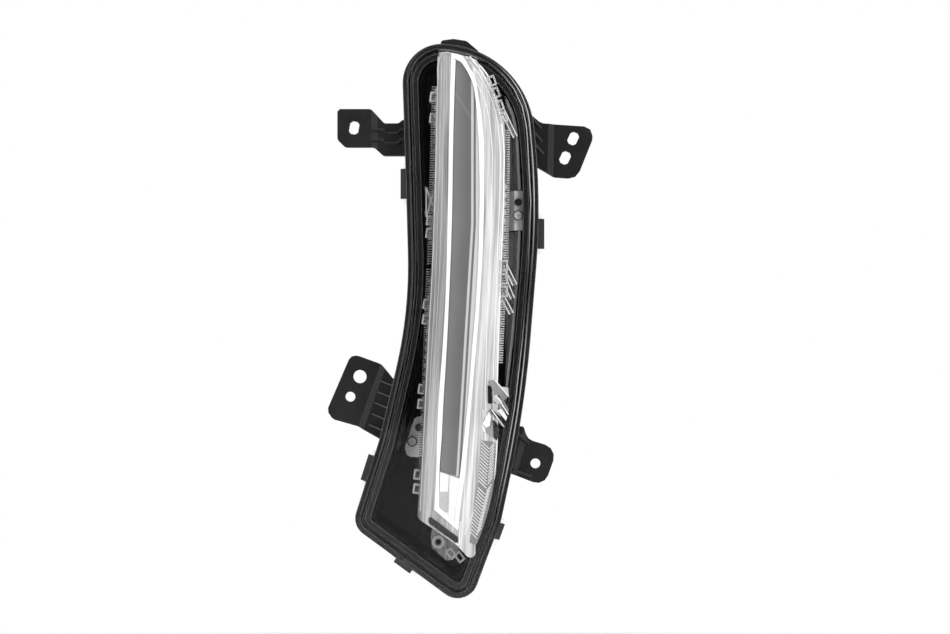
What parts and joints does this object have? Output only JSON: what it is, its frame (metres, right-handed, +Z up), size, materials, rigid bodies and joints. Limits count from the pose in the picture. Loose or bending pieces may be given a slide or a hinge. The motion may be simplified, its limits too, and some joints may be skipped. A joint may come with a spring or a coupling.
{
  "type": "daytime_running_light",
  "caption": "Blade-shaped daytime running light: clear cover over a toothed light module in a black moulded housing with four fixing ears and a rear connector socket",
  "frame": {"origin": "centre of the locating hole, on the front face of the lower left ear", "axes": "+X to the right seen from the front, +Y backwards into the car, +Z up along the long side"},
  "size_m": [0.1603, 0.1135, 0.3338],
  "materials": {
    "black_plastic": "fine moulded grain, satin",
    "dark_plastic": "fine grain, matte",
    "clear_cover": "polished clear polycarbonate",
    "clear_optic": "polished clear acrylic",
    "frosted_light": "milky light guide",
    "grey_plastic": "satin grey",
    "white_plastic": "satin white",
    "dark_trim": "glossy dark",
    "glue": "cured sealant",
    "bare_aluminium": "pressed sheet, satin",
    "screw_steel": "zinc plated",
    "pad_rubber": "soft thermal pad",
    "board": "white solder mask",
    "driver_laminate": "green solder mask",
    "led_package": "phosphor window",
    "seal_rubber": "soft rubber",
    "component": "moulded",
    "tinned_brass": "tin plated",
    "membrane": "woven membrane"
  },
  "bodies": {
    "root": {"housing": "black_plastic", "outer_lens": "clear_cover", "lens_glue": "glue", "inner_liner": "dark_plastic", "carrier_plate": "bare_aluminium", "carrier_screws": "screw_steel", "thermal_pad": "pad_rubber", "led_board": "board", "leds": "led_package", "reflector_tray": "white_plastic", "inner_optic": "clear_optic", "light_loop": "frosted_light", "centre_strip": "grey_plastic", "end_block": "white_plastic", "foot_trim": "dark_trim", "rear_cover": "black_plastic", "cover_seal": "seal_rubber", "cover_screws": "screw_steel", "driver_board": "driver_laminate", "driver_screws": "screw_steel", "inductor": "component", "capacitors": "component", "driver_chips": "component", "terminals": "tinned_brass", "link_header": "component", "link_pins": "tinned_brass", "vent_membrane": "membrane", "vent_cap": "dark_plastic"}
  },
  "joints": []
}
